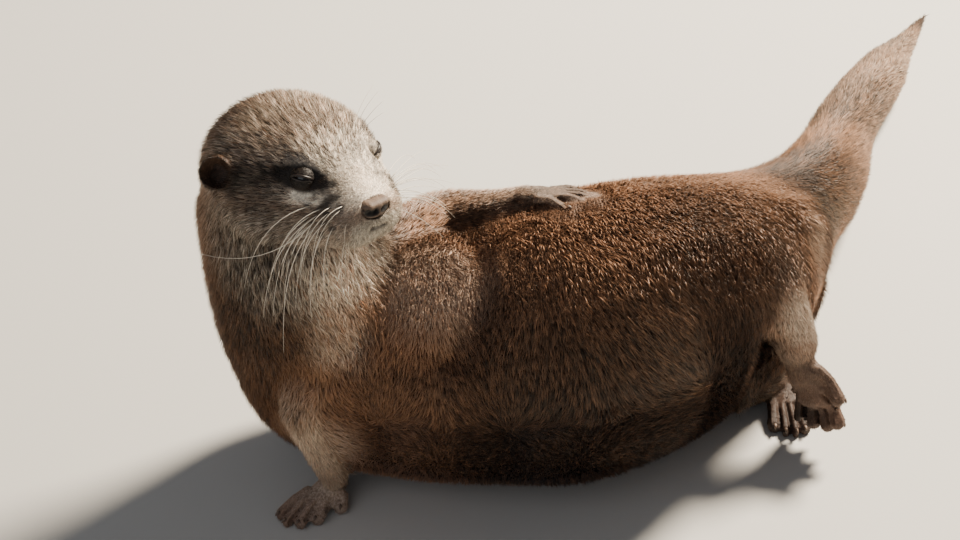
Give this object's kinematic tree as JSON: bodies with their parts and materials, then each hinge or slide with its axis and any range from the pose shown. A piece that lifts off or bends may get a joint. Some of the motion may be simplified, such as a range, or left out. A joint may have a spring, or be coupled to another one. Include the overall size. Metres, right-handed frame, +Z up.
{
  "type": "otter",
  "caption": "Still, life-size small-clawed otter that lies on its side with its head raised and turned, one forepaw on the floor and the other along its flank.",
  "frame": {"origin": "on the floor, under the middle of the otter's box", "axes": "+Z up from the floor; +Y from the belly's side towards the back and the tail's tip; +X from the chest to the hips"},
  "size_m": [0.4194, 0.4734, 0.206],
  "materials": {
    "brown_coat": "short dense brown fur, soft sheen",
    "pale_coat": "short dense greyish pale fur",
    "bare_skin": "grey-brown wrinkled skin",
    "eye_gloss": "wet and glossy",
    "nose_leather": "moist pebbled skin"
  },
  "bodies": {
    "root": {"head": "brown_coat", "ear_left": "brown_coat", "ear_right": "brown_coat", "eye_left": "eye_gloss", "eye_right": "eye_gloss", "nose": "nose_leather", "neck": "pale_coat", "trunk": "brown_coat", "tail_root": "brown_coat", "tail_end": "brown_coat", "fore_right_upper_leg": "brown_coat", "fore_right_lower_leg": "brown_coat", "fore_right_paw": "bare_skin", "fore_left_upper_leg": "brown_coat", "fore_left_lower_leg": "brown_coat", "fore_left_paw": "bare_skin", "hind_right_upper_leg": "brown_coat", "hind_right_lower_leg": "brown_coat", "hind_right_paw": "bare_skin", "hind_left_upper_leg": "brown_coat", "hind_left_lower_leg": "brown_coat", "hind_left_paw": "bare_skin"}
  },
  "joints": []
}
